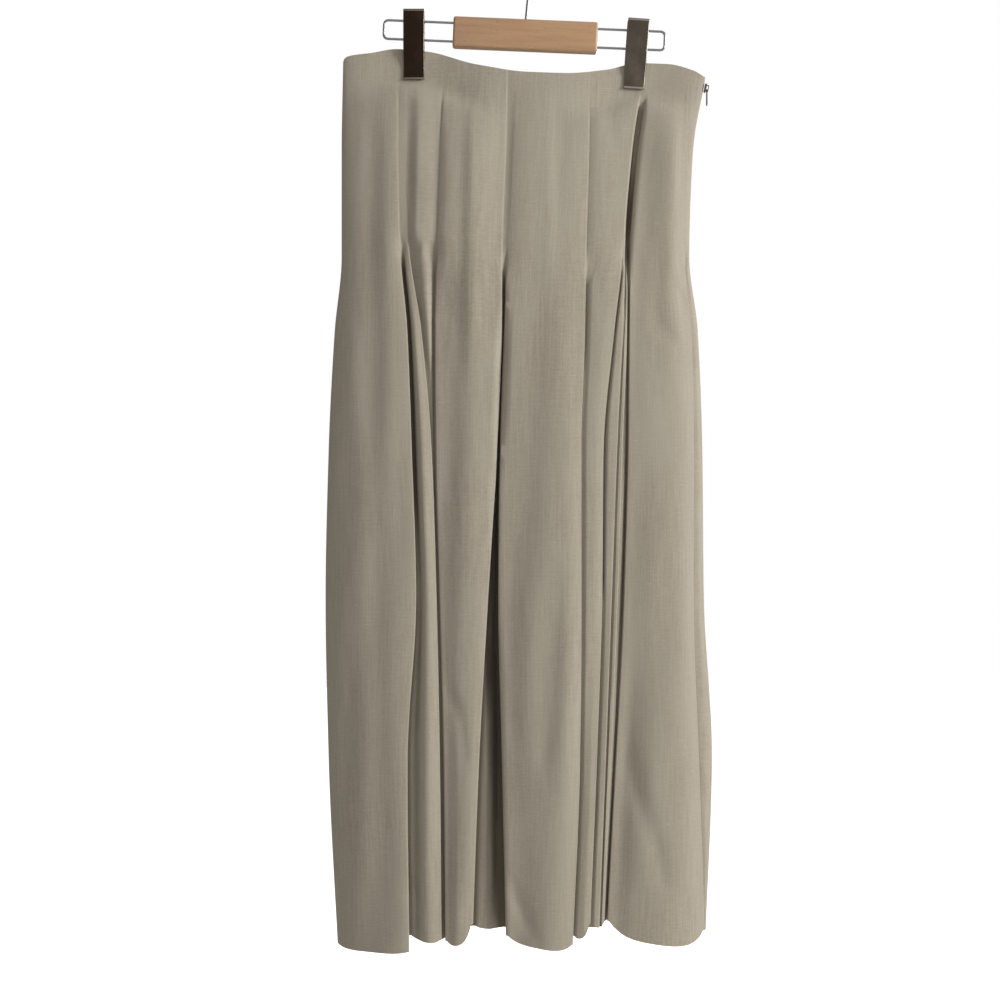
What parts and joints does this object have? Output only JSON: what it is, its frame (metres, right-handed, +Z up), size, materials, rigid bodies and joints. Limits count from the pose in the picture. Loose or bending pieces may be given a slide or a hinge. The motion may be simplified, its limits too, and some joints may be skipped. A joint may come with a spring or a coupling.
{
  "type": "maxi skirt on a clip hanger",
  "caption": "Long pleated skirt with stitched-down pleats and a side zip, hung by its waist from a wooden clip hanger.",
  "frame": {"origin": "inside top of the hanger's hook, where it bears on a rail", "axes": "+Z up, -Y towards the front of the skirt, +X to the viewer's right"},
  "size_m": [0.3862, 0.1017, 0.9889],
  "materials": {
    "cloth_front": "matte linen",
    "cloth_back": "matte linen",
    "zip_tape": "woven tape",
    "plated_metal": "plated",
    "wood": "clear varnish",
    "clip_steel": "dark enamel"
  },
  "bodies": {
    "root": {"skirt_front": "cloth_front", "skirt_back": "cloth_back", "zip_chain": "zip_tape", "zip_slider": "plated_metal", "hanger_bar": "wood", "hanger_hook": "plated_metal", "hanger_loop_left": "plated_metal", "hanger_loop_right": "plated_metal", "clip_left_front": "clip_steel", "clip_left_back": "clip_steel", "clip_left_spring": "plated_metal", "clip_right_front": "clip_steel", "clip_right_back": "clip_steel", "clip_right_spring": "plated_metal"},
    "zip_pull": {"zip_pull": "plated_metal"}
  },
  "joints": [
    {"name": "zip_pull_hinge", "type": "hinge", "parent": "root", "child": "zip_pull", "pos_m": [0.17927, 0, -0.135], "axis": [0, -1, 0], "range_deg": [0, 120]}
  ]
}
